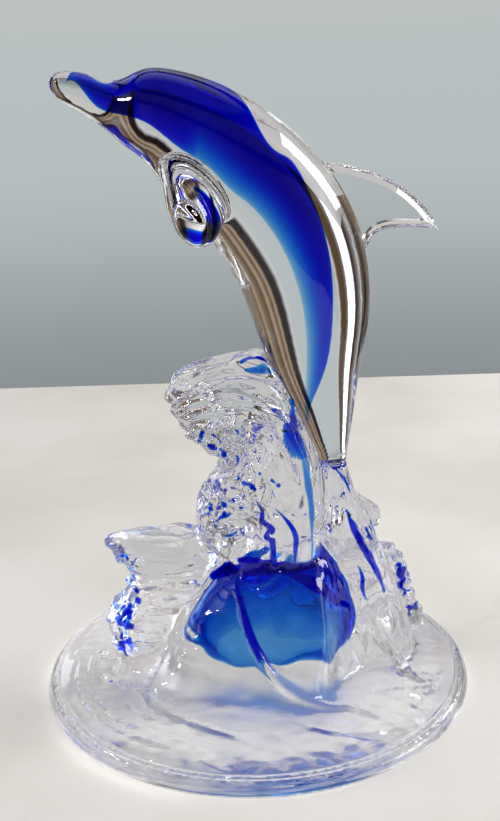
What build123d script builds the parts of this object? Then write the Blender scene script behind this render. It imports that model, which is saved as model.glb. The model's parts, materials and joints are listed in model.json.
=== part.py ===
"""Cased crystal glass figurine: a dolphin leaping from breaking waves on a round foot.

Two castings are bonded at one ground face. The wave casting is a round foot with a swell, three
breakers, a tall double crest, a splash and a tail column, all fused while hot. The dolphin casting is
a solid body with a dorsal fin and two flippers. Each casting holds a core of cobalt blue glass.
Millimetres, +Z up, dolphin facing -X, origin at the centre of the ground underside of the foot.
"""

from build123d import *
from math import cos, exp, radians, sin
import os

# ---------------------------------------------------------------- driving dimensions
FOOT_RADIUS = 69.7  # widest circle of the round foot
GROUND_RADIUS = 67.2  # flat ground underside of the foot
FOOT_TOP = 9.0  # flat top of the foot, where the waves are fused on
FOOT_FLAT_RADIUS = 50.0  # the flat part of that top
RIM_HEIGHT = 5.4  # top of the rounded rim
WIDEST_HEIGHT = 3.0  # height of the widest circle
RIM_BEVEL = 1.3  # how far the rim draws in above it
STEP_DEPTH = 2.0  # the small step above the rim
STEP_RISE = 0.2
SHOULDER_DEPTH = 6.5  # where the top's curve has done most of its rise, in from the widest circle
SHOULDER_HEIGHT = 7.6

BOND_HEIGHT = 76.0  # underside of the bond between the two castings
BOND_THICKNESS = 0.2  # cured adhesive film
TAIL_X = 26.0  # centre of the bonded faces
TAIL_HALF_LENGTH = 4.2  # of the tail's ground end, along X
TAIL_HALF_WIDTH = 5.0  # of the tail's ground end, along Y
COLUMN_MARGIN = 0.6  # how much wider the column's top is than the tail that stands on it

SWELL_RIDGES = (215.0, 295.0, 355.0, 60.0, 125.0)  # directions of its ridges, degrees from +X
RIDGE_SPREAD = 17.0  # half width of a ridge, degrees
CREST_HALF_WIDTH = 17.0  # the upper crest, along Y
CURL_HALF_WIDTH = 15.0  # the lower curl, along Y
FIN_HALF_THICKNESS = 3.0
FIN_BEVEL = 2.4  # each side of the fin draws in by this much towards its edge
BODY_CLEARANCE = 0.8  # gap between the crest and the dolphin that passes through its notch
NOTCH_STATIONS = 10  # how many body stations the notch follows, from the tail up
SIDE_TOLERANCE = 0.01  # for telling the edges of the fin's two flat sides

# Body stations from the tail's end to the beak: centre x and z, half height and half width.
BODY_STATIONS = (
    (26.0, 76.2, 4.2, 5.0),
    (25.2, 84.0, 6.2, 6.2),
    (24.0, 92.2, 8.8, 8.0),
    (22.4, 101.5, 11.8, 10.0),
    (21.0, 110.6, 14.7, 11.9),
    (20.2, 119.5, 17.0, 13.3),
    (19.0, 130.0, 18.8, 14.6),
    (16.2, 141.5, 19.9, 15.6),
    (10.8, 152.8, 20.4, 16.2),
    (3.6, 162.6, 19.8, 16.2),
    (-5.0, 171.2, 18.7, 15.6),
    (-14.0, 178.4, 16.8, 14.4),
    (-22.6, 183.8, 13.9, 12.6),
    (-30.5, 186.2, 11.4, 10.4),
    (-37.1, 187.5, 7.3, 7.2),
    (-43.6, 190.4, 5.7, 6.0),
    (-49.8, 193.0, 4.6, 4.8),
    (-53.0, 194.3, 3.1, 3.3),
    (-54.5, 194.9, 1.3, 1.4),
)
BODY_PATH = [(x, z) for x, z, _, _ in BODY_STATIONS]
# Core stations, tail to beak: body station, how far the core lies towards the back, half height and width.
CORE_STATIONS = (
    (2, -4.6, 0.6, 0.6),
    (3, -2.6, 1.5, 1.4),
    (4, 0.0, 2.6, 2.4),
    (5, 1.2, 3.2, 3.0),
    (6, 1.8, 3.9, 3.6),
    (7, 2.3, 4.9, 4.6),
    (8, 3.0, 5.9, 5.5),
    (9, 3.2, 6.9, 6.4),
    (10, 3.3, 7.6, 7.2),
    (11, 4.6, 8.6, 7.6),
    (12, 4.1, 6.9, 6.2),
    (13, 3.4, 5.2, 4.7),
    (14, 1.6, 3.2, 2.9),
    (15, 1.5, 1.9, 1.8),
    (16, 1.0, 0.6, 0.6),
)
# Flipper stations, root to tip: centre x, y and z, half length, half thickness, then the long axis' x and z.
FLIPPER_STATIONS = (
    (-13.5, -8.0, 164.5, 12.0, 8.0, 0.75, -0.66),
    (-13.8, -16.0, 163.0, 11.4, 6.4, 0.68, -0.73),
    (-14.0, -23.0, 160.6, 10.6, 6.0, 0.58, -0.81),
    (-14.2, -29.5, 158.6, 9.2, 5.6, 0.45, -0.89),
    (-14.2, -33.5, 157.4, 6.2, 3.9, 0.40, -0.92),
)
# A hood of blue glass, open below and domed above: height, centre x and y, half length, half width.
SWELL_CORE_SECTIONS = (
    (13.0, 3.0, -4.0, 15.0, 12.0),
    (16.0, 4.0, -4.0, 21.0, 17.0),
    (22.0, 6.0, -4.0, 24.5, 18.0),
    (30.0, 8.0, -3.5, 23.0, 16.5),
    (37.0, 9.5, -2.5, 18.5, 13.0),
    (42.0, 10.0, -1.5, 13.0, 9.0),
    (45.0, 10.5, -1.0, 7.0, 5.0),
)
# The clear glass that fills the hood from below, in the same terms.
SWELL_FILL_SECTIONS = (
    (12.0, 3.0, -4.0, 10.0, 8.0),
    (16.0, 4.0, -4.0, 17.5, 13.5),
    (22.0, 6.0, -4.0, 20.5, 14.0),
    (29.0, 8.0, -3.5, 18.0, 12.0),
    (35.0, 9.5, -3.0, 9.0, 6.0),
)
# Sections of the swell: height, mean radius, reach of the ridges, centre x.
SWELL_SECTIONS = (
    (FOOT_TOP, 33.5, 10.0, 0.0),
    (16.0, 30.0, 7.0, 2.0),
    (26.0, 27.0, 4.5, 5.0),
    (36.0, 23.0, 3.5, 8.0),
    (44.0, 18.5, 2.5, 10.0),
    (49.0, 12.5, 1.5, 11.0),
)
# Breakers and the tail column: height, centre x and y, half length, half width.
LEFT_BREAKER_SECTIONS = (
    (FOOT_TOP, -31.0, -7.0, 17.5, 15.0),
    (20.0, -31.0, -3.5, 16.5, 10.5),
    (32.0, -28.5, -1.0, 15.0, 8.5),
    (43.0, -27.0, 0.0, 15.0, 7.5),
    (50.0, -29.5, 0.0, 18.5, 8.5),
    (53.8, -28.5, 0.0, 15.0, 5.5),
)
RIGHT_BREAKER_SECTIONS = (
    (FOOT_TOP, 40.0, 21.0, 18.5, 11.0),
    (18.0, 38.5, 20.0, 16.0, 7.5),
    (28.0, 36.5, 19.0, 14.8, 6.5),
    (35.5, 35.5, 18.0, 14.0, 5.5),
    (39.5, 35.5, 17.5, 12.4, 3.5),
)
BACK_BREAKER_SECTIONS = (
    (FOOT_TOP, -10.0, 30.0, 20.0, 12.0),
    (20.0, -9.0, 27.0, 16.0, 9.0),
    (31.0, -8.0, 24.0, 14.0, 7.5),
    (39.0, -9.0, 23.0, 15.0, 6.5),
    (43.0, -9.5, 23.0, 11.0, 4.0),
)
TAIL_COLUMN_SECTIONS = (
    (FOOT_TOP, 38.0, 2.0, 15.0, 15.0),
    (24.0, 37.0, 2.0, 12.5, 13.0),
    (38.0, 34.0, 1.0, 10.5, 11.5),
    (52.0, 30.5, 0.0, 8.5, 9.5),
    (66.0, 27.0, 0.0, 6.0, 7.5),
    (BOND_HEIGHT, TAIL_X, 0.0, TAIL_HALF_LENGTH + COLUMN_MARGIN, TAIL_HALF_WIDTH + COLUMN_MARGIN),
)
# The splash is a finger with a round end: centre x, y and z, and radius.
SPLASH_STATIONS = (
    (31.0, 5.0, 59.0, 5.5),
    (35.5, 8.5, 55.5, 4.6),
    (39.5, 11.5, 51.8, 4.0),
    (41.5, 13.0, 49.9, 2.6),
)

# Side outlines of the two crests, clockwise from the lip, as (x, z).
CREST_OUTLINE = (
    (-25.4, 101.0), (-21.0, 106.6), (-8.0, 110.3), (3.6, 112.4), (10.4, 105.6), (15.6, 94.0),
    (20.2, 81.0), (22.2, 68.0), (21.0, 53.0), (18.0, 38.0), (8.0, 38.0), (4.5, 53.0), (2.0, 66.0),
    (-8.0, 75.4), (-17.2, 84.0), (-22.4, 93.0),
)
CURL_OUTLINE = (
    (-18.2, 59.0), (-15.6, 69.0), (-9.0, 74.6), (0.0, 74.0), (7.0, 66.0), (10.0, 52.0), (8.0, 40.0),
    (0.0, 38.0), (-7.0, 45.0), (-14.6, 51.0),
)
# How wide the crests are at each share of their half width along Y, as a share of the side outline.
SIDE_ROUNDING = ((-1.0, 0.72), (-0.72, 0.91), (0.0, 1.0), (0.72, 0.91), (1.0, 0.72))
CREST_CENTRE = (6.0, 78.0)
CURL_CENTRE = (-2.0, 56.0)
# The hollow barrel pressed into each side of a crest: centre x and z, ball radius, depth.
CREST_BARREL = (-3.0, 89.0, 13.0, 6.5)
CURL_BARREL = (-4.0, 57.0, 9.5, 4.5)

# The dorsal fin's outline, from its front root over the tip to its rear root.
FIN_LEADING = (
    (24.0, 169.4), (31.0, 168.4), (38.0, 166.2), (45.0, 163.0), (51.2, 158.2), (55.6, 153.2), (58.0, 148.6),
)
FIN_TRAILING = ((58.0, 148.6), (51.5, 149.6), (45.0, 149.6), (40.2, 148.6), (37.4, 145.6), (35.6, 139.0))
FIN_ROOT = ((35.6, 139.0), (20.0, 148.0), (24.0, 169.4))


# ---------------------------------------------------------------- helpers
def station_plane(path, i):
    """The plane square to a path of (x, z) points at point i, its x direction towards the outside."""
    x, z = path[i]
    before, after = path[max(i - 1, 0)], path[min(i + 1, len(path) - 1)]
    run = Vector(after[0] - before[0], 0, after[1] - before[1]).normalized()
    return Plane(origin=(x, 0, z), x_dir=Vector(0, 1, 0).cross(run), z_dir=run)


def ridged_outline(radius, reach, points=30):
    """Points of a circle that swells outwards in the direction of each of the swell's ridges."""
    outline = []
    for k in range(points):
        angle = 360.0 * k / points
        out = radius
        for ridge in SWELL_RIDGES:
            off = (angle - ridge + 180.0) % 360.0 - 180.0
            out += reach * exp(-((off / RIDGE_SPREAD) ** 2))
        outline.append((out * cos(radians(angle)), out * sin(radians(angle))))
    return outline


def gather(sections):
    """A gather of glass lofted through level ellipses: height, x, y, half length, half width."""
    with BuildPart() as blob:
        for height, x, y, half_length, half_width in sections:
            with BuildSketch(Plane((x, y, height))):
                Ellipse(half_length, half_width)
        loft()
    return blob.part


def crest(outline, centre, half_width, barrel):
    """A crest lofted through upright slices along Y, smaller to its sides, with its two hollow barrels."""
    with BuildPart() as wave:
        for share, size in SIDE_ROUNDING:
            slice_points = [
                (centre[0] + size * (x - centre[0]), centre[1] + size * (z - centre[1])) for x, z in outline
            ]
            with BuildSketch(Plane(origin=(0, share * half_width, 0), x_dir=(1, 0, 0), z_dir=(0, -1, 0))):
                with BuildLine():
                    Spline(*slice_points, periodic=True)
                make_face()
        loft()
        barrel_x, barrel_z, ball_radius, depth = barrel
        for side in (-1, 1):
            with Locations((barrel_x, side * (half_width + ball_radius - depth), barrel_z)):
                Sphere(ball_radius, mode=Mode.SUBTRACT)
    return wave.part


def body_shape(last, clearance):
    """The dolphin's outer shape from its ground tail end to the given station, larger by a clearance."""
    with BuildPart() as shape:
        with BuildSketch(Plane((TAIL_X, 0, BOND_HEIGHT + BOND_THICKNESS - clearance))):
            Ellipse(TAIL_HALF_LENGTH + clearance, TAIL_HALF_WIDTH + clearance)
        for i, (_, _, half_height, half_width) in enumerate(BODY_STATIONS[1:last], start=1):
            with BuildSketch(station_plane(BODY_PATH, i)):
                Ellipse(half_height + clearance, half_width + clearance)
        loft()
    return shape.part


# ---------------------------------------------------------------- round foot
rim_top = (FOOT_RADIUS - RIM_BEVEL, RIM_HEIGHT)
step_end = (rim_top[0] - STEP_DEPTH, RIM_HEIGHT + STEP_RISE)
flat_edge = (FOOT_FLAT_RADIUS, FOOT_TOP)
with BuildPart() as foot:
    with BuildSketch(Plane.XZ):
        with BuildLine():
            Line((0, 0), (GROUND_RADIUS, 0))
            Spline(
                (GROUND_RADIUS, 0),
                (FOOT_RADIUS, WIDEST_HEIGHT),
                rim_top,
                tangents=[(1.0, 0.5), (-0.8, 0.6)],
            )
            Line(rim_top, step_end)
            Spline(
                step_end,
                (FOOT_RADIUS - SHOULDER_DEPTH, SHOULDER_HEIGHT),
                flat_edge,
                tangents=[(-0.6, 1.0), (-1.0, 0.0)],
            )
            Line(flat_edge, (0, FOOT_TOP))
            Line((0, FOOT_TOP), (0, 0))
        make_face()
    revolve(axis=Axis.Z)
foot.part.label = "round_foot"

# ---------------------------------------------------------------- whole gathers, before they meet
body_gather = body_shape(last=len(BODY_STATIONS), clearance=0)
body_notch = body_shape(last=NOTCH_STATIONS, clearance=BODY_CLEARANCE)
column_gather = gather(TAIL_COLUMN_SECTIONS)
crest_gather = crest(CREST_OUTLINE, CREST_CENTRE, CREST_HALF_WIDTH, CREST_BARREL)
curl_gather = crest(CURL_OUTLINE, CURL_CENTRE, CURL_HALF_WIDTH, CURL_BARREL)

with BuildPart() as swell_gather:
    for height, radius, reach, centre_x in SWELL_SECTIONS:
        with BuildSketch(Plane((centre_x, 0, height))):
            with BuildLine():
                Spline(*ridged_outline(radius, reach), periodic=True)
            make_face()
    loft()

# ---------------------------------------------------------------- blue core of the dolphin
with BuildPart() as dolphin_core:
    for i, outward, half_height, half_width in CORE_STATIONS:
        plane = station_plane(BODY_PATH, i)
        centre = plane.origin + plane.x_dir * outward
        with BuildSketch(Plane(origin=centre, x_dir=plane.x_dir, z_dir=plane.z_dir)):
            Ellipse(half_height, half_width)
    loft()
dolphin_core.part.label = "blue_dolphin_core"

with BuildPart() as dolphin_body:
    add(body_gather)
    add(dolphin_core.part, mode=Mode.SUBTRACT)
dolphin_body.part.label = "dolphin_body"

# ---------------------------------------------------------------- dorsal fin
with BuildPart() as dorsal_fin:
    with BuildSketch(Plane.XZ):
        with BuildLine():
            Spline(*FIN_LEADING)
            Spline(*FIN_TRAILING)
            Polyline(*FIN_ROOT)
        make_face()
    extrude(amount=FIN_HALF_THICKNESS, both=True)
    rim = dorsal_fin.edges().filter_by(GeomType.BSPLINE).filter_by(
        lambda edge: abs(abs(edge.center().Y) - FIN_HALF_THICKNESS) < SIDE_TOLERANCE
    )
    chamfer(rim, length=FIN_BEVEL, length2=FIN_BEVEL)
    add(body_gather, mode=Mode.SUBTRACT)
dorsal_fin.part.label = "dorsal_fin"

# ---------------------------------------------------------------- flippers
with BuildPart() as near_flipper:
    for x, y, z, half_length, half_thickness, long_x, long_z in FLIPPER_STATIONS:
        with BuildSketch(Plane(origin=(x, y, z), x_dir=(long_x, 0, long_z), z_dir=(0, -1, 0))):
            Ellipse(half_length, half_thickness)
    loft()
    add(body_gather, mode=Mode.SUBTRACT)
near_flipper.part.label = "right_flipper"

with BuildPart() as far_flipper:
    add(mirror(near_flipper.part, about=Plane.XZ, mode=Mode.PRIVATE))
far_flipper.part.label = "left_flipper"


# ---------------------------------------------------------------- blue core of the swell
with BuildPart() as swell_core:
    add(gather(SWELL_CORE_SECTIONS))
    add(gather(SWELL_FILL_SECTIONS), mode=Mode.SUBTRACT)
swell_core.part.label = "blue_swell_core"

# ---------------------------------------------------------------- swell
with BuildPart() as swell:
    add(swell_gather.part)
    add(swell_core.part, mode=Mode.SUBTRACT)
swell.part.label = "swell"

# ---------------------------------------------------------------- tail column
with BuildPart() as tail_column:
    add(column_gather)
    add(swell_gather.part, mode=Mode.SUBTRACT)
tail_column.part.label = "tail_column"

# ---------------------------------------------------------------- upper crest, notched for the dolphin
with BuildPart() as upper_crest:
    add(crest_gather)
    add(body_notch, mode=Mode.SUBTRACT)
    add(column_gather, mode=Mode.SUBTRACT)
    add(swell_gather.part, mode=Mode.SUBTRACT)
upper_crest.part.label = "upper_crest"

# ---------------------------------------------------------------- lower curl
with BuildPart() as lower_curl:
    add(curl_gather)
    add(crest_gather, mode=Mode.SUBTRACT)
    add(column_gather, mode=Mode.SUBTRACT)
    add(swell_gather.part, mode=Mode.SUBTRACT)
lower_curl.part.label = "lower_curl"

# ---------------------------------------------------------------- breakers round the foot
left_gather = gather(LEFT_BREAKER_SECTIONS)
right_gather = gather(RIGHT_BREAKER_SECTIONS)
back_gather = gather(BACK_BREAKER_SECTIONS)

with BuildPart() as left_breaker:
    add(left_gather)
    add(swell_gather.part, mode=Mode.SUBTRACT)
    add(curl_gather, mode=Mode.SUBTRACT)
left_breaker.part.label = "left_breaker"

with BuildPart() as right_breaker:
    add(right_gather)
    add(swell_gather.part, mode=Mode.SUBTRACT)
    add(column_gather, mode=Mode.SUBTRACT)
right_breaker.part.label = "right_breaker"

with BuildPart() as back_breaker:
    add(back_gather)
    add(swell_gather.part, mode=Mode.SUBTRACT)
    add(left_gather, mode=Mode.SUBTRACT)
    add(right_gather, mode=Mode.SUBTRACT)
back_breaker.part.label = "back_breaker"

# ---------------------------------------------------------------- splash
with BuildPart() as splash:
    for i, (x, y, z, radius) in enumerate(SPLASH_STATIONS):
        before, after = SPLASH_STATIONS[max(i - 1, 0)], SPLASH_STATIONS[min(i + 1, len(SPLASH_STATIONS) - 1)]
        run = Vector(after[0] - before[0], after[1] - before[1], after[2] - before[2])
        with BuildSketch(Plane(origin=(x, y, z), z_dir=run)):
            Circle(radius)
    loft()
    add(column_gather, mode=Mode.SUBTRACT)
    add(crest_gather, mode=Mode.SUBTRACT)
splash.part.label = "splash"

# ---------------------------------------------------------------- bond between the two castings
with BuildPart() as bond_film:
    with BuildSketch(Plane((TAIL_X, 0, BOND_HEIGHT))):
        Ellipse(TAIL_HALF_LENGTH, TAIL_HALF_WIDTH)
    extrude(amount=BOND_THICKNESS)
bond_film.part.label = "bond_film"

# ---------------------------------------------------------------- write the pieces
os.makedirs("parts", exist_ok=True)
pieces = (
    foot, swell, swell_core, left_breaker, right_breaker, back_breaker, lower_curl, upper_crest,
    tail_column, splash, bond_film, dolphin_body, dolphin_core, dorsal_fin, near_flipper, far_flipper,
)
for piece in pieces:
    shape = piece.part
    box = shape.bounding_box()
    print(shape.label, "solids", len(shape.solids()), "mm3", round(shape.volume), box.min, box.max)
    export_step(shape, f"parts/{shape.label}.step")
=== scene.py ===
# %% [markdown]
# # A cased crystal dolphin over breaking waves
# The figurine is two castings of clear crystal, each with cobalt blue glass inside it, bonded at one
# small ground face under the tail. Clear glass has no colour of its own: all that the eye sees is the
# room, bent. So this lesson spends its time on three things: smooth closed shapes, a room worth
# bending, and a blue that gets lighter where the glass is thin.

import json
import math
import random

import bpy
import numpy as np
from mathutils import Euler, Matrix, Vector, noise
from mathutils.bvhtree import BVHTree

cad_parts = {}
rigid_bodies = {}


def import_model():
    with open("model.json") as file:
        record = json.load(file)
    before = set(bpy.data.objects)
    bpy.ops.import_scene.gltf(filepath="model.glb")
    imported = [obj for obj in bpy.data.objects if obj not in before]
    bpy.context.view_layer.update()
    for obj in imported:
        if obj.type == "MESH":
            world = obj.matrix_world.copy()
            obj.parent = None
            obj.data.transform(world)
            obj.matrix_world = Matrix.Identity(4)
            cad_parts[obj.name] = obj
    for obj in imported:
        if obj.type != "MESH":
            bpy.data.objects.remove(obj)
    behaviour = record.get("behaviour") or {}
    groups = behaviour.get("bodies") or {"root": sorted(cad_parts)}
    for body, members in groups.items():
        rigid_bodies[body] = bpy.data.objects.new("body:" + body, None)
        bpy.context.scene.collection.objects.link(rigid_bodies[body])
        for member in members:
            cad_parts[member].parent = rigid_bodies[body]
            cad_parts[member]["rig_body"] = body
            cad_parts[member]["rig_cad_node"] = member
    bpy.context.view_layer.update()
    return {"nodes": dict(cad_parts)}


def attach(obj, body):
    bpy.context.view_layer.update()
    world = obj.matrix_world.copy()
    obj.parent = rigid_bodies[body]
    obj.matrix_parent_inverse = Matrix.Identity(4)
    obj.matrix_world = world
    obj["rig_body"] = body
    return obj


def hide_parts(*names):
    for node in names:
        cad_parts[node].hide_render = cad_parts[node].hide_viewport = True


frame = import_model()
MM = 0.001
print("nodes:", sorted(frame["nodes"]))

# %% [markdown]
# ## The camera
# The figurine stands a little below the eye. The camera is placed from the size of the object, looks
# slightly down, and leans by under two degrees, as a hand-held one does.

# %% Camera
CAMERA_PLACE = Vector((0.1, -344.0, 201.9)) * MM
CAMERA_PITCH = 17.47  # degrees below level
CAMERA_LEAN = -1.76
CAMERA_LENS = 50.43

camera_data = bpy.data.cameras.new("viewing_camera")
camera_data.lens = CAMERA_LENS
camera_data.clip_start = 0.01
camera = bpy.data.objects.new("viewing_camera", camera_data)
bpy.context.scene.collection.objects.link(camera)
look_down = Euler((math.radians(90.0 - CAMERA_PITCH), 0.0, 0.0)).to_matrix()
lean = Matrix.Rotation(math.radians(CAMERA_LEAN), 3, "Z")
camera.matrix_world = Matrix.Translation(CAMERA_PLACE) @ (look_down @ lean).to_4x4()
bpy.context.scene.camera = camera
print("camera at", camera.matrix_world.translation)


# %% [markdown]
# ## Small helpers
# Blender's operators work on what is selected and active, so two helpers keep that under control.
# Node trees are easier to read when one call adds a node and links its inputs.


# %% Selection helpers
def select_only(*objects):
    """Selects these objects and nothing else; the first is the active one."""
    bpy.ops.object.select_all(action="DESELECT")
    for obj in objects:
        obj.select_set(True)
    bpy.context.view_layer.objects.active = objects[0]


def apply_modifier(obj, kind, **settings):
    """Adds a modifier with these settings and applies it."""
    select_only(obj)
    modifier = obj.modifiers.new(kind.lower(), kind)
    for key, value in settings.items():
        setattr(modifier, key, value)
    bpy.ops.object.modifier_apply(modifier=modifier.name)


def face_count(obj):
    return len(obj.data.polygons)


bpy.ops.object.select_all(action="DESELECT")


# %% Node helpers
def add_node(tree, kind, inputs=None, **settings):
    """Adds a node, sets its properties, then fills its inputs with values or other nodes' outputs."""
    node = tree.nodes.new(kind)
    for key, value in settings.items():
        setattr(node, key, value)
    for key, value in (inputs or {}).items():
        if isinstance(value, bpy.types.NodeSocket):
            tree.links.new(value, node.inputs[key])
        else:
            node.inputs[key].default_value = value
    return node


def ramp(tree, fac, stops, interpolation="EASE"):
    """A colour ramp through (place, colour) stops."""
    node = add_node(tree, "ShaderNodeValToRGB", {"Fac": fac})
    node.color_ramp.interpolation = interpolation
    while len(node.color_ramp.elements) < len(stops):
        node.color_ramp.elements.new(0.5)
    for element, (place, colour) in zip(node.color_ramp.elements, stops):
        element.position = place
        element.color = (*colour, 1.0)
    return node.outputs["Color"]


def maths(tree, operation, a, b=0.0):
    return add_node(tree, "ShaderNodeMath", {0: a, 1: b}, operation=operation).outputs[0]


def noise_marks(tree, place, scale, detail):
    """Smooth random values from 0 to 1; scale is how many fit in a metre, roughly."""
    settings = {"Vector": place, "Scale": scale, "Detail": detail}
    return add_node(tree, "ShaderNodeTexNoise", settings).outputs["Fac"]


def mixed(tree, share, first, second):
    """A colour that goes from the first to the second as share goes from 0 to 1."""
    node = add_node(tree, "ShaderNodeMix", data_type="RGBA")
    for socket, value in ((node.inputs[0], share), (node.inputs[6], first), (node.inputs[7], second)):
        if isinstance(value, bpy.types.NodeSocket):
            tree.links.new(value, socket)
        else:
            socket.default_value = value if isinstance(value, float) else (*value, 1.0)
    return node.outputs[2]


def spread(tree, value, low, high):
    """0 where the value is at most low, 1 where it is at least high, and straight between."""
    return add_node(
        tree, "ShaderNodeMapRange", {"Value": value, "From Min": low, "From Max": high}
    ).outputs[0]


# %% [markdown]
# ## The room
# A crystal shape shows mostly what is beside and behind the viewer, squeezed into streaks along its
# edges. So the world is painted by direction: a pale grey-blue wall behind the figurine, brown
# furniture with dark gaps and bright windows to each side, and dark beams across the ceiling. A bright
# ceiling overhead would lie on the blue as a grey veil, so the glass sees it dark there and only the
# cloth is lit by it. The eye itself sees only the plain wall.

# %% World
WALL_HIGH = (0.60, 0.59, 0.54)
WALL_MIDDLE = (0.47, 0.52, 0.53)
WALL_LOW = (0.25, 0.275, 0.285)
DARK = (0.012, 0.008, 0.006)
BROWN = (0.090, 0.055, 0.030)
OAK = (0.19, 0.135, 0.085)
TAN = (0.40, 0.29, 0.19)
GREY = (0.22, 0.215, 0.22)
PALE = (0.62, 0.62, 0.62)
WINDOW = (2.4, 2.5, 2.6)
CEILING = (0.95, 0.95, 0.95)
CEILING_OVERHEAD = (0.10, 0.095, 0.09)  # what the glass sees over the viewer
FLOORBOARDS = (0.10, 0.06, 0.035)
# Dark beams across the ceiling: how high to look, then how much of the light is left there.
BEAMS = [
    (0.0, (1.0,) * 3), (0.40, (1.0,) * 3), (0.44, (0.1,) * 3), (0.50, (0.1,) * 3), (0.54, (1.0,) * 3),
    (0.74, (1.0,) * 3), (0.77, (0.0,) * 3), (0.83, (0.0,) * 3), (0.86, (1.0,) * 3), (1.0, (1.0,) * 3),
]
WALL_ENDS = 16.0  # degrees to each side of straight ahead
# Heights are of the line of sight: -1 is straight down, 0 is level, 1 is straight up.
WALL_HEIGHTS = (-0.30, 0.45)
FLOOR_HEIGHTS = (-0.75, -0.35)
CEILING_HEIGHTS = (0.45, 0.70)
OVERHEAD_ENDS = (0.0, 0.45)  # from over the viewer to ahead, where the ceiling is light
# What stands round the room: degrees from straight ahead, then what is seen there.
LEFT_SIDE = (
    (16.0, PALE), (17.5, BROWN), (22.0, BROWN), (24.5, GREY), (26.0, WINDOW), (33.0, WINDOW), (35.5, DARK),
    (40.0, BROWN), (46.0, GREY), (58.0, PALE), (70.0, OAK), (84.0, GREY), (96.0, PALE), (108.0, WINDOW),
    (118.0, BROWN), (132.0, DARK), (146.0, OAK), (160.0, BROWN), (180.0, BROWN),
)
RIGHT_SIDE = (
    (16.0, PALE), (18.5, DARK), (23.0, DARK), (25.0, TAN), (27.5, BROWN), (31.5, TAN), (35.0, BROWN),
    (43.0, OAK), (50.0, TAN), (57.0, BROWN), (64.0, DARK), (70.0, PALE), (80.0, BROWN), (94.0, DARK),
    (104.0, WINDOW), (118.0, BROWN), (134.0, OAK), (152.0, BROWN), (180.0, BROWN),
)

world = bpy.data.worlds.new("room")
bpy.context.scene.world = world
world.use_nodes = True
tree = world.node_tree
tree.nodes.clear()
direction = add_node(tree, "ShaderNodeTexCoord").outputs["Generated"]
side, ahead, height = add_node(tree, "ShaderNodeSeparateXYZ", {0: direction}).outputs
turned = maths(tree, "DIVIDE", maths(tree, "ABSOLUTE", maths(tree, "ARCTAN2", side, ahead)), math.pi)


def room_side(stops):
    """One side of the room, by how far it is from straight ahead."""
    return ramp(tree, turned, [(degrees / 180.0, colour) for degrees, colour in stops], "LINEAR")


wall = ramp(
    tree,
    spread(tree, height, *WALL_HEIGHTS),
    [(0.0, WALL_LOW), (0.30, WALL_MIDDLE), (0.75, WALL_HIGH)],
)
is_right = maths(tree, "GREATER_THAN", side, 0.0)
sides = mixed(tree, is_right, room_side(LEFT_SIDE), room_side(RIGHT_SIDE))
past_wall = spread(tree, turned, (WALL_ENDS - 1.0) / 180.0, WALL_ENDS / 180.0)
all_round = mixed(tree, past_wall, wall, sides)
with_floor = mixed(tree, spread(tree, height, *FLOOR_HEIGHTS), FLOORBOARDS, all_round)
rays = add_node(tree, "ShaderNodeLightPath").outputs
far_ceiling = spread(tree, ahead, *OVERHEAD_ENDS)
light_ceiling = maths(tree, "MAXIMUM", rays["Is Diffuse Ray"], far_ceiling)
ceiling = mixed(tree, light_ceiling, CEILING_OVERHEAD, CEILING)
with_ceiling = mixed(tree, spread(tree, height, *CEILING_HEIGHTS), with_floor, ceiling)
beams = ramp(tree, height, BEAMS, "LINEAR")
seen_through_glass = mixed(tree, beams, DARK, with_ceiling)
room_colour = mixed(tree, rays["Is Camera Ray"], seen_through_glass, wall)
background = add_node(tree, "ShaderNodeBackground", {"Color": room_colour, "Strength": 1.0})
add_node(tree, "ShaderNodeOutputWorld", {"Surface": background.outputs[0]})
print("room painted with", len(tree.nodes), "nodes")

# %% [markdown]
# ## The tablecloth
# A plain pale cloth carries the figurine and ends behind it, below the wall. There are two sheets of
# it. The eye sees the large one. The crystal sees a smaller one, darker and a little lavender: painted
# shade in place of the shadow the clear glass is not let cast. Being smaller, it lets the brown of the
# room reach the glass from the sides; being darker, it keeps the foot from being washed out.

# %% Table
TABLE_BACK = 0.362  # metres behind the figurine
EYE_CLOTH_EDGES = (-1.2, 1.2, -0.9)  # metres: left, right and front
GLASS_CLOTH_EDGES = (-0.21, 0.24, -0.45)
CLOTH_GAP = 0.25 * MM  # a ground foot never quite touches cloth
GRID = 30


def tablecloth(name, left, right, front, gap, material):
    """A flat grid from these edges to the back edge of the table, a small gap below the foot."""
    bpy.ops.mesh.primitive_grid_add(x_subdivisions=GRID, y_subdivisions=GRID, size=1.0)
    sheet = bpy.context.object
    sheet.name = name
    bpy.ops.transform.resize(value=(right - left, TABLE_BACK - front, 1.0))
    bpy.ops.transform.translate(value=((left + right) / 2, (TABLE_BACK + front) / 2, -gap))
    bpy.ops.object.transform_apply(location=True, rotation=True, scale=True)
    sheet.data.materials.append(material)
    return sheet


def cream_cloth(name, shaded, lit):
    """Woven cloth with the light and shade of its soft folds painted in, between a shaded and a lit colour.
    """
    material = bpy.data.materials.new(name)
    material.use_nodes = True
    tree = material.node_tree
    shader = tree.nodes["Principled BSDF"]
    place = add_node(tree, "ShaderNodeTexCoord").outputs["Object"]
    folds = noise_marks(tree, place, 9.0, 3.0)
    weave = noise_marks(tree, place, 900.0, 2.0)
    # Painted shade: the light and shade of the folds are painted into the cloth's colour.
    tree.links.new(ramp(tree, folds, [(0.3, shaded), (0.7, lit)]), shader.inputs["Base Color"])
    shader.inputs["Roughness"].default_value = 0.9
    bump = add_node(tree, "ShaderNodeBump", {"Strength": 0.15, "Distance": 0.0004, "Height": weave})
    tree.links.new(bump.outputs[0], shader.inputs["Normal"])
    return material


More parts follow.
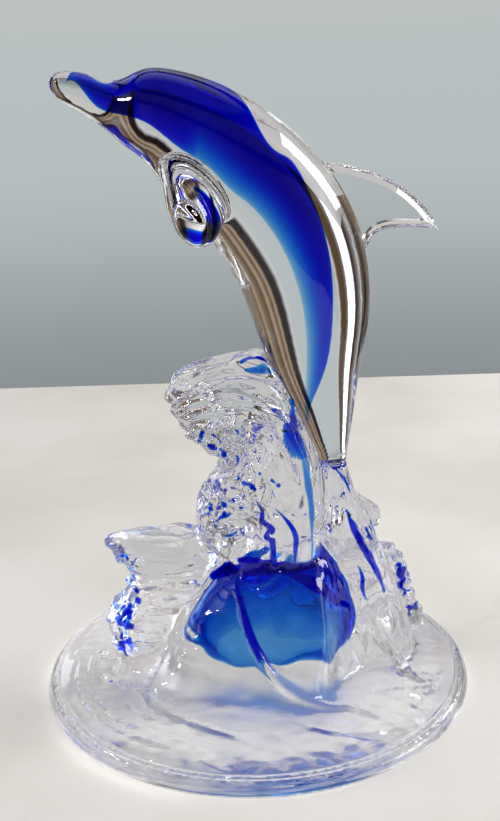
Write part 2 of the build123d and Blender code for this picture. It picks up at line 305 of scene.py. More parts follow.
cloth = cream_cloth("cream_cloth", (0.69, 0.67, 0.625), (0.80, 0.78, 0.75))
# Painted shade: a darker, lavender copy of the cloth stands in for the shadow of the clear glass.
shaded_cloth_under_glass = cream_cloth("shaded_cloth_under_glass", (0.53, 0.52, 0.53), (0.66, 0.65, 0.65))
table_seen = tablecloth("table_seen_by_eye", *EYE_CLOTH_EDGES, 2 * CLOTH_GAP, cloth)
table_seen.visible_transmission = False
table_seen.visible_glossy = False
table_in_glass = tablecloth("table_seen_by_glass", *GLASS_CLOTH_EDGES, CLOTH_GAP, shaded_cloth_under_glass)
table_in_glass.visible_camera = False
table_in_glass.visible_diffuse = False
table_in_glass.visible_shadow = False
print("one cloth for the eye and one for the glass")


# %% [markdown]
# ## The lamps
# A large soft lamp on the right gives the long highlights and the light on the cloth. A small one on
# the left adds a few bright points. Light has to pass many walls of glass, so the renderer may bend
# and mirror a ray more often than it usually does.


# %% Lamps
LAMP_AIM = (0.0, 0.0, 0.1)  # the middle of the figurine


def soft_lamp(name, place, size, power, colour):
    """A rectangular area lamp at a place, turned towards the figurine."""
    lamp = bpy.data.lights.new(name, "AREA")
    lamp.shape = "RECTANGLE"
    lamp.size, lamp.size_y = size
    lamp.energy = power
    lamp.color = colour
    obj = bpy.data.objects.new(name, lamp)
    bpy.context.scene.collection.objects.link(obj)
    obj.location = place
    obj.rotation_euler = (Vector(LAMP_AIM) - Vector(place)).to_track_quat("-Z", "Y").to_euler()


soft_lamp("window_right", (0.75, 0.10, 0.60), (0.35, 0.45), 5.0, (1.0, 0.98, 0.95))
soft_lamp("window_left", (-0.70, -0.35, 0.65), (0.08, 0.08), 1.5, (0.95, 0.98, 1.0))
scene = bpy.context.scene
scene.view_settings.view_transform = "Standard"
scene.cycles.max_bounces = 28
scene.cycles.transmission_bounces = 26
scene.cycles.glossy_bounces = 12
scene.cycles.diffuse_bounces = 3
scene.cycles.transparent_max_bounces = 16
scene.cycles.sample_clamp_indirect = 6.0
scene.cycles.blur_glossy = 0.3
print("two lamps")


# %% [markdown]
# ## The glass
# Clear crystal is one shader: full transmission, no roughness, the refractive index of crystal. The
# cobalt glass has the same index as the crystal round it, so nothing bends where they meet. A mesh
# inside another would bend the ray twice, so the core's index is set to 1, and its colour comes from
# absorption: red dies within a millimetre or two, green a little later, blue hardly at all.


# %% Glass materials
CRYSTAL_INDEX = 1.53
COBALT_PASS = (0.0, 0.61, 0.975)  # the share of each colour that is not taken
COBALT_DENSITY = 3100.0  # per metre
SWELL_PASS = (0.0, 0.58, 0.935)  # the swell's blue was let down with clear glass
SWELL_DENSITY = 560.0
THREAD_DENSITY = 7000.0  # threads are thin, yet nearly black-blue
SHEET_DENSITY = 2300.0  # the threads along the tall sheet are paler


def clear_crystal(name):
    """Clear glass, with its shader node returned for bumps to be added."""
    material = bpy.data.materials.new(name)
    material.use_nodes = True
    shader = material.node_tree.nodes["Principled BSDF"]
    shader.inputs["Base Color"].default_value = (1.0, 1.0, 1.0, 1.0)
    shader.inputs["Roughness"].default_value = 0.0
    shader.inputs["IOR"].default_value = CRYSTAL_INDEX
    shader.inputs["Transmission Weight"].default_value = 1.0
    return material, shader


def cobalt_glass(name, passes, density):
    """Blue glass sealed in clear glass of the same index."""
    material, shader = clear_crystal(name)
    shader.inputs["IOR"].default_value = 1.0
    tree = material.node_tree
    absorption = add_node(tree, "ShaderNodeVolumeAbsorption", {"Color": (*passes, 1.0), "Density": density})
    tree.links.new(absorption.outputs[0], tree.nodes["Material Output"].inputs["Volume"])
    return material


# %% Mix the glasses
dolphin_crystal, _ = clear_crystal("dolphin_crystal")
wave_crystal, wave_shader = clear_crystal("wave_crystal")
dolphin_cobalt = cobalt_glass("dolphin_cobalt", COBALT_PASS, COBALT_DENSITY)
swell_cobalt = cobalt_glass("swell_cobalt", SWELL_PASS, SWELL_DENSITY)
thread_and_reflection_cobalt = cobalt_glass("thread_and_reflection_cobalt", COBALT_PASS, THREAD_DENSITY)
sheet_cobalt = cobalt_glass("sheet_cobalt", COBALT_PASS, SHEET_DENSITY)
print("six glasses mixed")

# %% [markdown]
# ## What the mould left on the waves
# The wave casting came out of an iron mould. Its skin is never quite flat: fine rings run round the
# crests, the rest has a faint hammered look, and its underside was ground flat and is still matt.
# The large flow marks are real geometry, further down. These are the marks too small for that.

# %% The skin of the wave casting
GROUND_HEIGHT = (0.2 * MM, 0.5 * MM)
GROUND_ROUGHNESS = (0.38, 0.12)  # in the middle and towards the rim
GROUND_MIDDLE = (36.0 * MM, 52.0 * MM)
CREST_ROLL = (-6.0, 76.0)  # X and Z in millimetres; the upper crest rolls round this point
CREST_FROM = (62.0 * MM, 70.0 * MM)
WAVES_FROM = (9.0 * MM, 14.0 * MM)
FOOT_SHARE = 0.1  # how much of the hammered look reaches the foot
BROW_FROM = (91.0 * MM, 97.0 * MM)  # the brow of the upper crest is streaked and not hammered
RIM_FROM = (62.0 * MM, 70.0 * MM)
RIM_GROOVES = (0.46, 0.62, 0.84)  # turned lines, as shares of the way across the rim
HALF_GROOVE = 0.06

tree = wave_crystal.node_tree
place = add_node(tree, "ShaderNodeTexCoord").outputs["Object"]
height = add_node(tree, "ShaderNodeSeparateXYZ", {0: place}).outputs[2]
level_place = add_node(tree, "ShaderNodeVectorMath", {0: place, 1: (1.0, 1.0, 0.0)}, operation="MULTIPLY")
level_length = add_node(tree, "ShaderNodeVectorMath", {0: level_place.outputs[0]}, operation="LENGTH")
radius = level_length.outputs["Value"]
above_ground = spread(tree, height, *GROUND_HEIGHT)
middle, rim = GROUND_ROUGHNESS
fading = spread(tree, radius, *GROUND_MIDDLE)
matt = maths(tree, "ADD", middle, maths(tree, "MULTIPLY", fading, rim - middle))
roughness = maths(tree, "MULTIPLY", maths(tree, "SUBTRACT", 1.0, above_ground), matt)
tree.links.new(roughness, wave_shader.inputs["Roughness"])
crest_eye = Vector((CREST_ROLL[0], 0.0, CREST_ROLL[1])) * MM
from_eye = add_node(tree, "ShaderNodeMapping", {"Vector": place, "Location": -crest_eye}).outputs[0]
rings = add_node(
    tree,
    "ShaderNodeTexWave",
    {"Vector": from_eye, "Scale": 80.0, "Distortion": 3.5, "Detail": 3.0, "Detail Scale": 1.6},
    wave_type="RINGS",
    rings_direction="Y",
).outputs["Fac"]
rings_here = maths(tree, "MULTIPLY", rings, spread(tree, height, *CREST_FROM))
on_waves = maths(tree, "ADD", spread(tree, height, *WAVES_FROM), FOOT_SHARE)
below_brow = maths(tree, "SUBTRACT", 1.0, spread(tree, height, *BROW_FROM))
share = maths(tree, "MULTIPLY", on_waves, maths(tree, "ADD", below_brow, FOOT_SHARE))
hammered = maths(tree, "MULTIPLY", noise_marks(tree, place, 300.0, 2.0), share)
fine_marks = add_node(tree, "ShaderNodeBump", {"Strength": 0.55, "Distance": 0.18 * MM, "Height": hammered})
ring_marks = add_node(
    tree,
    "ShaderNodeBump",
    {"Strength": 0.5, "Distance": 0.22 * MM, "Height": rings_here, "Normal": fine_marks.outputs[0]},
)
across_rim = spread(tree, radius, *RIM_FROM)
level, cut = (1.0, 1.0, 1.0), (0.0, 0.0, 0.0)
groove_stops = [(0.0, level)]
for groove in RIM_GROOVES:
    groove_stops += [(groove - HALF_GROOVE, level), (groove, cut), (groove + HALF_GROOVE, level)]
grooves = ramp(tree, across_rim, groove_stops)
rim_marks = add_node(
    tree,
    "ShaderNodeBump",
    {"Strength": 0.7, "Distance": 0.4 * MM, "Height": grooves, "Normal": ring_marks.outputs[0]},
)
tree.links.new(rim_marks.outputs[0], wave_shader.inputs["Normal"])
print("wave skin has", len(tree.nodes), "nodes")


# %% [markdown]
# ## From gathers to castings
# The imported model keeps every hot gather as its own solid, which is right on paper. In the real thing
# the gathers have run together, and a wall between two of them would show as a dark line. So copies
# of the solids are joined, remeshed as one skin, and smoothed as a flame smooths glass.


# %% Casting helpers
MERGE_DISTANCE = 0.002 * MM


def outer_copy(node):
    """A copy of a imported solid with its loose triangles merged, and any cavity inside it left out."""
    obj = frame["nodes"][node].copy()
    obj.data = obj.data.copy()
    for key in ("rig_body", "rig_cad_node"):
        if key in obj:
            del obj[key]
    obj.parent = None
    obj.name = "gather_" + node
    obj.data.materials.clear()
    bpy.context.scene.collection.objects.link(obj)
    select_only(obj)
    bpy.ops.object.mode_set(mode="EDIT")
    bpy.ops.mesh.select_all(action="SELECT")
    bpy.ops.mesh.remove_doubles(threshold=MERGE_DISTANCE)
    bpy.ops.mesh.separate(type="LOOSE")
    bpy.ops.object.mode_set(mode="OBJECT")
    shells = list(bpy.context.selected_objects)
    shells.sort(key=lambda shell: shell.dimensions.length, reverse=True)
    for cavity in shells[1:]:
        bpy.data.objects.remove(cavity)
    return shells[0]


def joined(first, others):
    select_only(first, *others)
    bpy.ops.object.join()
    return bpy.context.object


def remeshed(obj, voxel, smoothing):
    """One closed skin round everything in this mesh, smoothed."""
    select_only(obj)
    obj.data.remesh_voxel_size = voxel
    obj.data.use_remesh_fix_poles = False
    bpy.ops.object.voxel_remesh()
    apply_modifier(obj, "SMOOTH", factor=0.5, iterations=smoothing)
    bpy.ops.object.shade_smooth()
    print(obj.name, face_count(obj), "faces")


def fused(nodes, name, voxel, smoothing):
    """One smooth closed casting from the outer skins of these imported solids."""
    gathers = [outer_copy(node) for node in nodes]
    casting = joined(gathers[0], gathers[1:])
    casting.name = name
    casting.data.name = name
    remeshed(casting, voxel, smoothing)
    return casting


def points_of(obj):
    """The mesh's points as an array that can be changed and put back."""
    flat = np.empty(len(obj.data.vertices) * 3)
    obj.data.vertices.foreach_get("co", flat)
    return flat.reshape(-1, 3)


def put_points(obj, points):
    obj.data.vertices.foreach_set("co", points.ravel())
    obj.data.update()


def finish_piece(obj, material, slot, *nodes):
    """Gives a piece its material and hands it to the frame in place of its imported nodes."""
    obj.data.materials.clear()
    obj.data.materials.append(material)
    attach(obj, "root")
    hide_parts(*nodes)


# %% [markdown]
# ## The two castings
# The dolphin's body and its flippers become one casting, and the foot with all the waves the other. A
# ray is bent by every small dent, so the dolphin is smoothed for longer. Two search trees remember the
# skins as they are now, for what is laid on them and what has to keep clear of them.

# %% The dolphin casting
DOLPHIN_NODES = ("dolphin_body", "right_flipper", "left_flipper")
DOLPHIN_VOXEL = 0.5 * MM
DOLPHIN_SMOOTHING = 24
dolphin = fused(DOLPHIN_NODES, "dolphin_casting", DOLPHIN_VOXEL, DOLPHIN_SMOOTHING)
finish_piece(dolphin, dolphin_crystal, "dolphin_crystal", *DOLPHIN_NODES)

# %% Melt the wave gathers together
WAVE_NODES = (
    "round_foot", "swell", "left_breaker", "right_breaker", "back_breaker", "lower_curl",
    "upper_crest", "tail_column", "splash",
)
WAVE_VOXEL = 0.9 * MM
WAVE_SMOOTHING = 12
waves = fused(WAVE_NODES, "wave_casting", WAVE_VOXEL, WAVE_SMOOTHING)
wave_surface = BVHTree.FromObject(waves, bpy.context.evaluated_depsgraph_get())
dolphin_surface = BVHTree.FromObject(dolphin, bpy.context.evaluated_depsgraph_get())

# %% [markdown]
# ## Ropes and beads of glass
# Where two sheets of water meet, the glassmaker trailed a rope of hot glass, and along the torn edges
# of the breakers small beads of glass were dabbed on. A rope is a smooth curve with a round bevel that
# gets thinner towards its ends. A bead is a small icosphere. Both sink into the casting when it is
# remeshed, so what is left is a ridge or a bump with a soft foot.

# %% Rope and bead helpers
THIN_END = 0.35  # a rope's ends, as a share of its full width


def rope(name, points, width):
    """A rope of glass along these points in millimetres, as a mesh that tapers at both ends."""
    curve = bpy.data.curves.new(name, "CURVE")
    curve.dimensions = "3D"
    curve.bevel_depth = width / 2.0 * MM
    curve.bevel_resolution = 3
    curve.use_fill_caps = True
    spline = curve.splines.new("NURBS")
    spline.points.add(len(points) - 1)
    for i, (knot, place) in enumerate(zip(spline.points, points)):
        along = i / (len(points) - 1)
        knot.co = (*(Vector(place) * MM), 1.0)
        knot.radius = THIN_END + (1.0 - THIN_END) * math.sin(math.pi * along) ** 0.5
    spline.order_u = 3
    spline.use_endpoint_u = True
    obj = bpy.data.objects.new(name, curve)
    bpy.context.scene.collection.objects.link(obj)
    select_only(obj)
    bpy.ops.object.convert(target="MESH")
    return bpy.context.object


def bead(place, radius):
    """A small round drop of glass at a place in metres."""
    bpy.ops.object.select_all(action="DESELECT")
    bpy.ops.mesh.primitive_ico_sphere_add(subdivisions=2, radius=radius, location=place)
    return bpy.context.object


# %% [markdown]
# ## Lay the ropes
# Five ropes run down over the swell and out across the foot. Eleven more stand round the tail column
# from top to foot, so that it reads as a fluted jet of water.

# %% Ropes over the swell and the foot
FRONT_ROPE = (
    (-6.5, -15, 42), (-3.5, -24, 30), (1.5, -29, 21), (6, -32, 16.5), (12.5, -36, 12.5), (21, -37, 9.2),
    (28.5, -36, 8.8), (36, -42, 8.4), (42, -46, 7.4),
)
LEFT_ROPE = (
    (-22, -9, 31), (-25, -12, 24), (-28.5, -17.5, 17), (-32.5, -23, 11.5), (-34.5, -29.5, 9), (-26, -39, 8.8),
    (-15, -46, 8.8), (-5, -52, 8.4), (7, -60, 7.6),
)
RIGHT_ROPE = ((33.5, -10.5, 30), (38, -11, 24), (43, -11, 15), (49, -18, 9), (54, -25, 8.2), (60, -26, 6.4))
LOW_ROPE = ((9, -41, 8.8), (14.5, -47, 8.8), (24, -50.5, 8.6), (34, -50, 8.2), (44, -45, 7.4))
BACK_ROPE = ((-2, 22, 40), (0, 30, 25), (6, 38, 12), (16, 44, 9), (28, 42, 8.8))
ropes = [
    rope("front_rope", FRONT_ROPE, 3.4),
    rope("left_rope", LEFT_ROPE, 3.4),
    rope("right_rope", RIGHT_ROPE, 3.6),
    rope("low_rope", LOW_ROPE, 2.4),
    rope("back_rope", BACK_ROPE, 3.2),
]
print(len(ropes), "ropes laid")

# %% Ropes up the tail column
COLUMN_FOOT = Vector((38.0, 2.0, 20.0))
COLUMN_TOP = Vector((26.5, 0.0, 70.0))
COLUMN_FLUTES = 11
KNEE = 0.45  # a flute bends this share of the way down
FLUTE_REACH = (4.6, 8.4, 12.6, 14.5)  # from the column's axis, from the top down
FLUTE_TAIL = Vector((0.0, 0.0, 9.0))  # a flute ends this far below the column's foot
FLUTE_WIDTH = 2.2
WIDTH_STEP = 0.8

at_top, at_knee, at_foot, at_tail = FLUTE_REACH
for i in range(COLUMN_FLUTES):
    turn = 2.0 * math.pi * i / COLUMN_FLUTES
    outwards = Vector((math.cos(turn), math.sin(turn), 0.0))
    ropes.append(
        rope(
            f"column_rope_{i}",
            (
                COLUMN_TOP + outwards * at_top,
                COLUMN_TOP.lerp(COLUMN_FOOT, KNEE) + outwards * at_knee,
                COLUMN_FOOT + outwards * at_foot,
                COLUMN_FOOT + outwards * at_tail - FLUTE_TAIL,
            ),
            FLUTE_WIDTH + WIDTH_STEP * (i % 3),
        )
    )

print(len(ropes), "ropes with the flutes")

# %% [markdown]
# ## Stud the torn edges
# Beads fall at random inside boxes round the torn edges, and each is moved to the nearest point of the
# skin. Then casting, ropes and beads are remeshed together into one closed skin.

# %% Beads along the torn edges
BEAD_RADII = (1.1, 2.1)  # millimetres
# The low and the high corner of each box, then how many beads go in it.
BEAD_BOXES = (
    ((-50, -16, 12), (-38, -10, 46), 70),
    ((-52, -8, 12), (-46, 3, 40), 30),
    ((54, 6, 13), (60, 22, 37), 44),
    ((-20, -20, 78), (-4, -12, 92), 46),
    ((-20, -20, 60), (-2, -14, 73), 34),
    ((-18, 14, 60), (0, 20, 92), 24),
)
STUDDED_VOXEL = 0.83 * MM
STUDDED_SMOOTHING = 3
luck = random.Random(7)


def studded(low, high, count):
    """Beads at random places in a box, each moved to the nearest point of the casting."""
    drops = []
    for _ in range(count):
        guess = Vector([luck.uniform(a, b) for a, b in zip(low, high)]) * MM
        surface_point = wave_surface.find_nearest(guess)[0]
        drops.append(bead(surface_point, luck.uniform(*BEAD_RADII) * MM))
    return drops


beads = []
for low, high, count in BEAD_BOXES:
    beads += studded(low, high, count)
waves = joined(waves, ropes + beads)
remeshed(waves, STUDDED_VOXEL, STUDDED_SMOOTHING)

# %% [markdown]
# ## Flow marks
# Glass keeps the marks of how it flowed. Each region of the waves has its own flow: rings round the
# eye of a crest, flutes, level ripples along the side breakers, slow swells on the foot. Here every
# point of the mesh moves along its normal by a smooth random height that is stretched along the flow.

# %% Flow mark helpers
ROLL_RADIUS = 20.0  # millimetres; turns an angle round a crest into a length


def flow(across, along, depth, seed):
    """Smooth random heights, about one unit in size in each of the three directions."""
    return np.array([noise.noise(Vector(p) + Vector((seed, 0.0, 0.0))) for p in zip(across, along, depth)])


def ease(values, low, high):
    """0 below low, 1 above high, smooth between; low may be the larger one."""
    share = np.clip((values - low) / (high - low), 0.0, 1.0)
    return share * share * (3.0 - 2.0 * share)


def polar(points, eye):
    """Distance from an axis along Y through the eye, and the way round it in millimetres."""
    across, up = points[:, 0] - eye[0], points[:, 2] - eye[1]
    distance = np.hypot(across, up)
    return distance, np.arctan2(up, across) * ROLL_RADIUS


# %% Press the flow marks into the casting
CURL_ROLL = (-3.0, 56.0)
FOOT_RINGS_EYE = (-8.0, -6.0)  # the ripples on the foot spread from here
SPLASH_PLACE = (54.0, -26.0)
DOLPHIN_CLEARANCE = (0.8, 3.0)  # no marks where the casting all but touches the dolphin

mm_points = points_of(waves) / MM
x, y, z = mm_points.T
normals = np.empty(len(mm_points) * 3)
waves.data.vertex_normals.foreach_get("vector", normals)
normals = normals.reshape(-1, 3)

crest_distance, crest_way = polar(mm_points, CREST_ROLL)
curl_distance, curl_way = polar(mm_points, CURL_ROLL)
in_crest = ease(z, 64.0, 70.0) * ease(x, 24.0, 18.0)
in_curl = ease(curl_distance, 19.0, 15.0) * (1.0 - in_crest)
in_column = ease(x, 20.0, 25.0) * ease(z, 10.0, 16.0) * ease(y, 14.0, 11.0) * (1.0 - in_crest)
in_breakers = np.maximum(ease(x, -16.0, -21.0), ease(y, 12.0, 16.0)) * ease(z, 10.0, 13.0)
in_foot = ease(z, 12.0, 9.5) * ease(z, 5.5, 7.0) * ease(np.hypot(x, y), 66.0, 60.0)
in_swell = ease(z, 9.0, 12.0) * (1.0 - in_crest) * (1.0 - in_curl)

# Each mark: where it lies, how high it is, then places divided by its size, then the seed.
marks = in_crest * 1.6 * flow(crest_distance / 2.6, crest_way / 22.0, y / 8.0, 1.0)
marks += in_crest * 0.6 * flow(crest_distance / 1.3, crest_way / 12.0, y / 5.0, 2.0)
marks += in_curl * 1.0 * flow(curl_distance / 1.9, curl_way / 8.0, y / 6.0, 3.0)
marks += in_column * 0.5 * flow(x / 2.0, y / 2.0, z / 16.0, 4.0)
marks += in_breakers * 0.8 * flow(z / 2.0, x / 9.0, y / 9.0, 5.0)
marks += in_swell * 0.9 * flow(x / 7.0, y / 7.0, z / 9.0, 6.0)
foot_distance = np.hypot(x - FOOT_RINGS_EYE[0], y - FOOT_RINGS_EYE[1])
left_of_foot = ease(x, -18.0, -32.0)
marks += in_foot * left_of_foot * 0.55 * flow(foot_distance / 2.6, np.arctan2(y, x) * 3.0, z / 9.0, 7.0)
marks += in_foot * left_of_foot * 0.2 * np.sin(foot_distance * 1.9)
splashed = ease(np.hypot(x - SPLASH_PLACE[0], y - SPLASH_PLACE[1]), 16.0, 8.0)
marks += in_foot * splashed * 0.9 * flow(x / 2.2, y / 2.2, z / 3.0, 8.0)
marks += in_foot * 0.45 * flow(x / 6.0, y / 4.0, z / 9.0, 9.0)

gap = np.array([dolphin_surface.find_nearest(Vector(p) * MM)[3] for p in mm_points]) / MM
marks *= ease(gap, *DOLPHIN_CLEARANCE)
moved = mm_points + normals * marks[:, None]
print("flow marks up to", round(float(abs(marks).max()), 2), "mm")

# %% [markdown]
# ## The rim and the throat
# The foot's rim was turned true once the casting was cold, so there the height of the skin is read from
# a profile and not left to chance. Below its brow the crest is narrow: a throat, drawn in from the
# left. The blue threads have to move with it, so the throat is a function.

# %% Turn the rim true and pull the throat of the crest in
# Distance from the middle of the foot, then height, in millimetres.
RIM_PROFILE = ((60.0, 8.2), (62.5, 7.7), (64.0, 7.2), (65.6, 6.6), (67.0, 6.0), (67.9, 5.55), (68.6, 5.1))
THROAT_HEIGHT = 83.0
THROAT_WIDTH = 5.0
THROAT_DEPTH = 5.5
THROAT_SIDE = (3.0, -11.0)  # nothing moves to the right of the first, all does left of the second


def throat(points):
    """How far along X to move each point, in millimetres, to narrow the throat under the crest."""
    x, _, z = points.T
    return THROAT_DEPTH * np.exp(-(((z - THROAT_HEIGHT) / THROAT_WIDTH) ** 2)) * ease(x, *THROAT_SIDE)


radius = np.hypot(x, y)
radii, heights = zip(*RIM_PROFILE)
on_rim = ease(radius, 60.5, 63.0) * ease(radius, 68.6, 68.2)
on_rim *= ease(normals[:, 2], 0.2, 0.5) * ease(z, 12.0, 10.0)
moved[:, 2] += on_rim * (np.interp(radius, radii, heights) - moved[:, 2])
moved[:, 0] += throat(moved)
put_points(waves, moved * MM)
apply_modifier(waves, "SMOOTH", factor=0.4, iterations=1)
bpy.ops.object.shade_smooth()
finish_piece(waves, wave_crystal, "wave_crystal", *WAVE_NODES)
waves.visible_shadow = False  # lamp light reaches the cloth through clear glass
print("throat drawn in by", THROAT_DEPTH, "mm")

# %% [markdown]
# ## The blue in the dolphin
# The blue glass was laid on one side of a gather and pulled out with it, so across the body it is a
# wedge: full thickness towards the back, thin as a film towards the belly, where it fades to pale blue.
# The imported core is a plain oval, so its thickness is drawn in here by how near the belly side it is.

# %% The dolphin's core
LEAP_CENTRE = Vector((-47.0, 0.0, 112.0)) * MM  # the leap is nearly an arc about this point
ARC_STEPS = 72
STEP_OVERLAP = 0.75
FILM = 0.12  # what is left of the thickness at the belly side
WEDGE_ENDS = (-24.0 * MM, -12.0 * MM)  # in the head the core keeps its oval section
CORE_VOXEL = 0.5 * MM
CORE_SMOOTHING = 12

dolphin_core = fused(("blue_dolphin_core",), "dolphin_blue_core", CORE_VOXEL, CORE_SMOOTHING)
points = points_of(dolphin_core)
across, up = points[:, 0] - LEAP_CENTRE.x, points[:, 2] - LEAP_CENTRE.z
reach, angle = np.hypot(across, up), np.arctan2(up, across)
step_angles = np.linspace(angle.min(), angle.max(), ARC_STEPS)
half_step = (step_angles[1] - step_angles[0]) * STEP_OVERLAP
near_step = [reach[abs(angle - middle) < half_step] for middle in step_angles]
inner = np.interp(angle, step_angles, [near.min() for near in near_step])
outer = np.interp(angle, step_angles, [near.max() for near in near_step])
towards_back = np.clip((reach - inner) / (outer - inner), 0.0, 1.0)
wedge = FILM + (1.0 - FILM) * towards_back**2
in_body = np.clip((points[:, 0] - WEDGE_ENDS[0]) / (WEDGE_ENDS[1] - WEDGE_ENDS[0]), 0.0, 1.0)
points[:, 1] *= 1.0 + in_body * (wedge - 1.0)
put_points(dolphin_core, points)
finish_piece(dolphin_core, dolphin_cobalt, "cobalt_core", "blue_dolphin_core")
print("core thickness", round(float(np.ptp(points[:, 1])) / MM, 1), "mm")

# %% [markdown]
# ## The blue in the swell
# The second gob of blue lies low in the waves. It is a hood, open below, and its glass was let down
# with clear, so it is the paler of the two. Only its skin is smoothed.

# %% The swell's core
swell_core = fused(("blue_swell_core",), "swell_blue_core", CORE_VOXEL, CORE_SMOOTHING)
finish_piece(swell_core, swell_cobalt, "cobalt_core", "blue_swell_core")

# %% [markdown]
# ## Threads of blue
# A little of the blue was pulled up with the clear glass: a thread along the edge of the tall sheet,
# jagged threads in the curl, streaks down the tail column and a cap at the very top of the crest.
# They are ropes like those above, laid just under the skin. Most are nearly black-blue, and the ones
# along the tall sheet are paler. Drops of the dark blue sit under the clear beads as painted reflection:
# they stand in for the blue core seen reflected in the beads' facets.

# %% Blue threads
SHEET_THREAD = ((17.4, -14, 44), (18, -14.6, 61), (17.4, -14.2, 70), (16, -14, 79), (14.6, -13, 85))
SHEET_PATCH = ((15, -12.6, 82), (12.4, -12.4, 88), (11.6, -11.6, 94), (13, -9.4, 100))
JAGGED = (
    (1.6, -13.6, 69.4), (3.3, -13.6, 66.9), (2.8, -13.6, 62.4), (3, -13.6, 61.8), (6, -13.6, 60),
    (6, -13.6, 59.4), (4.1, -13.6, 56.6), (4.3, -13.6, 56.2), (6.4, -13.6, 55.8), (6.5, -13.6, 55),
    (6.3, -13.6, 46),
)
JAGGED_RIGHT = (
    (7.1, -14.6, 66.6), (10.6, -14.6, 62.6), (13.4, -14.6, 57), (13, -14.6, 53), (12.2, -14.6, 46),
)
CREST_CAP = ((-2, -5, 109.6), (1.9, -5, 111.6), (4.7, -5, 111.2), (6.4, -5, 108.6))
CREST_CAP_LOW = ((-1, -6, 107.4), (3, -6, 108.2), (6, -6, 107))
COLUMN_STREAK = (
    (29.4, -5, 61.5), (31.4, -5.6, 55.5), (34.2, -6, 49.5), (37.4, -5.6, 43), (39.8, -5.4, 37),
    (41.4, -5, 32),
)
COLUMN_HOOK = ((32.8, -7, 43), (34.6, -7, 39.4), (34, -7.2, 35), (35.2, -7.4, 31))
COLUMN_TOP_STREAK = ((26.6, -3.6, 74), (29.4, -3.4, 71), (30.6, -3.6, 67))
JOINT_WEDGE = ((22.6, -2.4, 75.3), (26, -2.4, 75.1), (29.4, -2, 74.8))
SHEET_BACK = ((21, -4, 76), (21, -7.4, 72), (20, -9.4, 64))
CURL_TEETH = ((-12, -13.2, 62.2), (-9.4, -13.2, 63.8), (-6.8, -13.2, 64.3))
CURL_TEETH_LOW = ((-11.5, -13.2, 60.4), (-8.4, -13.2, 60.8))
CURL_TEETH_LAST = ((-9.6, -13.2, 57), (-7, -13.2, 56.6), (-4.9, -13.2, 58.6))
CURL_SPOT = ((5.8, -13.2, 72.4), (7.3, -13.2, 69.6))
CROWN = ((-14, -7, 40), (-9, -9.4, 44), (-2, -11, 45), (7, -12.4, 46.4), (13, -12, 44.6), (21, -8, 45))
CROWN_RIGHT = ((8, -13, 45), (15, -13.4, 41), (20, -13.6, 37), (25, -13.6, 33.4), (30, -12, 31))
FRONT_CREASE = (
    (-6.4, -14.4, 42.4), (-4.4, -18.4, 37), (-2.2, -23, 28.6), (1.4, -26.4, 21.4), (5, -29.6, 17.6),
)
pale_threads = [
    rope("sheet_thread", SHEET_THREAD, 1.7),
    rope("sheet_patch", SHEET_PATCH, 4.4),
    rope("sheet_back", SHEET_BACK, 1.4),
    rope("crest_cap_low", CREST_CAP_LOW, 3.0),
]
threads = [
    rope("jagged_thread", JAGGED, 2.2),
    rope("jagged_thread_right", JAGGED_RIGHT, 1.6),
    rope("crest_cap", CREST_CAP, 2.4),
    rope("column_streak", COLUMN_STREAK, 2.2),
    rope("column_hook", COLUMN_HOOK, 1.5),
    rope("column_top_streak", COLUMN_TOP_STREAK, 1.8),
    rope("joint_wedge", JOINT_WEDGE, 1.6),
    rope("curl_teeth", CURL_TEETH, 1.8),
    rope("curl_teeth_low", CURL_TEETH_LOW, 1.2),
    rope("curl_teeth_last", CURL_TEETH_LAST, 1.4),
    rope("curl_spot", CURL_SPOT, 1.6),
    rope("crown", CROWN, 6.0),
    rope("crown_right", CROWN_RIGHT, 4.0),
    rope("front_crease", FRONT_CREASE, 2.4),
]
# The dots are painted reflection: dark blue drops that stand in for the blue core seen reflected in the
# facets of the clear beads.
REFLECTION_DOT_DEPTH = 1.0 * MM  # the dots lie this far under the skin, inside the clear beads
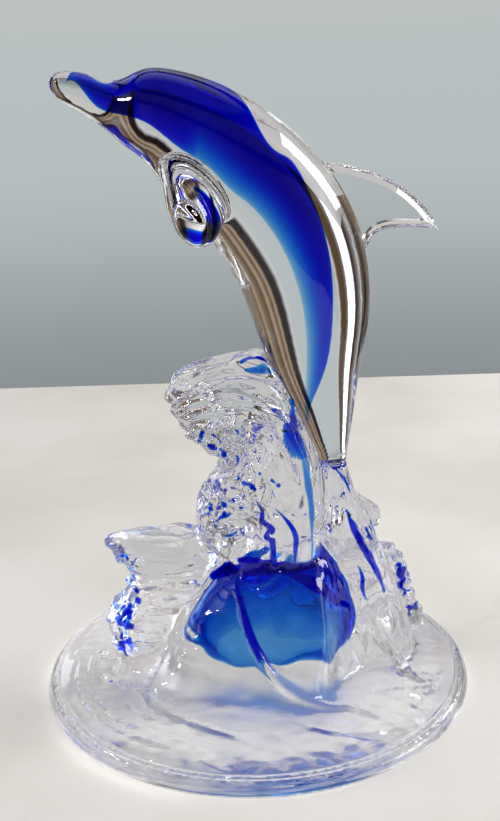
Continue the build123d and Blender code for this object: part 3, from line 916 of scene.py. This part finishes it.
# The low and the high corner of each box, how many dots go in it, then their smallest and largest radius.
REFLECTION_DOT_BOXES = (
    ((-50, -16, 14), (-42, -10, 41), 44, 0.5, 1.1),
    ((54, 6, 14), (60, 20, 36), 22, 0.8, 1.5),
    ((-18, -20, 83), (-4, -14, 92), 20, 0.4, 1.0),
    ((-20, -20, 60), (-2, -16, 72), 12, 0.4, 0.9),
    ((-6, -20, 73), (9, -16, 80), 14, 0.4, 0.9),
)
THREAD_VOXEL = 0.3 * MM
THREAD_SMOOTHING = 4


def blue_reflection_dots(low, high, count, smallest, largest):
    """Dark blue drops just under the skin of the casting, near random places in a box: a painted reflection
    of the blue core in the beads' facets.
    """
    dots = []
    for _ in range(count):
        guess = Vector([luck.uniform(a, b) for a, b in zip(low, high)]) * MM
        place, normal = wave_surface.find_nearest(guess)[:2]
        dots.append(bead(place - normal * REFLECTION_DOT_DEPTH, luck.uniform(smallest, largest) * MM))
    return dots


def blue_piece(name, parts, material):
    """One closed piece of blue from several ropes and dots, moved with the throat of the crest."""
    piece = joined(parts[0], parts[1:])
    piece.name = name
    remeshed(piece, THREAD_VOXEL, THREAD_SMOOTHING)
    places = points_of(piece) / MM
    places[:, 0] += throat(places)
    put_points(piece, places * MM)
    piece.data.materials.clear()
    piece.data.materials.append(material)
    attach(piece, "root")


for low, high, count, smallest, largest in REFLECTION_DOT_BOXES:
    threads += blue_reflection_dots(low, high, count, smallest, largest)
blue_piece("blue_threads_and_reflection_dots", threads, thread_and_reflection_cobalt)
blue_piece("pale_threads", pale_threads, sheet_cobalt)

# %% [markdown]
# ## The fin and the bond
# The dorsal fin is a flat plate with a bevelled edge. Remeshing would round its bevels, which carry
# the bright and dark lines round the fin, so its packed faces are only merged and shaded, with every
# edge sharper than a few degrees kept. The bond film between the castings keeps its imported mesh.

# %% Fin and bond film
SHARP_EDGE = math.radians(10.0)
fin = outer_copy("dorsal_fin")
fin.name = "fin_plate"
select_only(fin)
bpy.ops.object.shade_smooth_by_angle(angle=SHARP_EDGE)
finish_piece(fin, dolphin_crystal, "dolphin_crystal", "dorsal_fin")
bond = frame["nodes"]["bond_film"]
bond.data.materials.clear()
bond.data.materials.append(dolphin_crystal)
print("fin", face_count(fin), "faces")
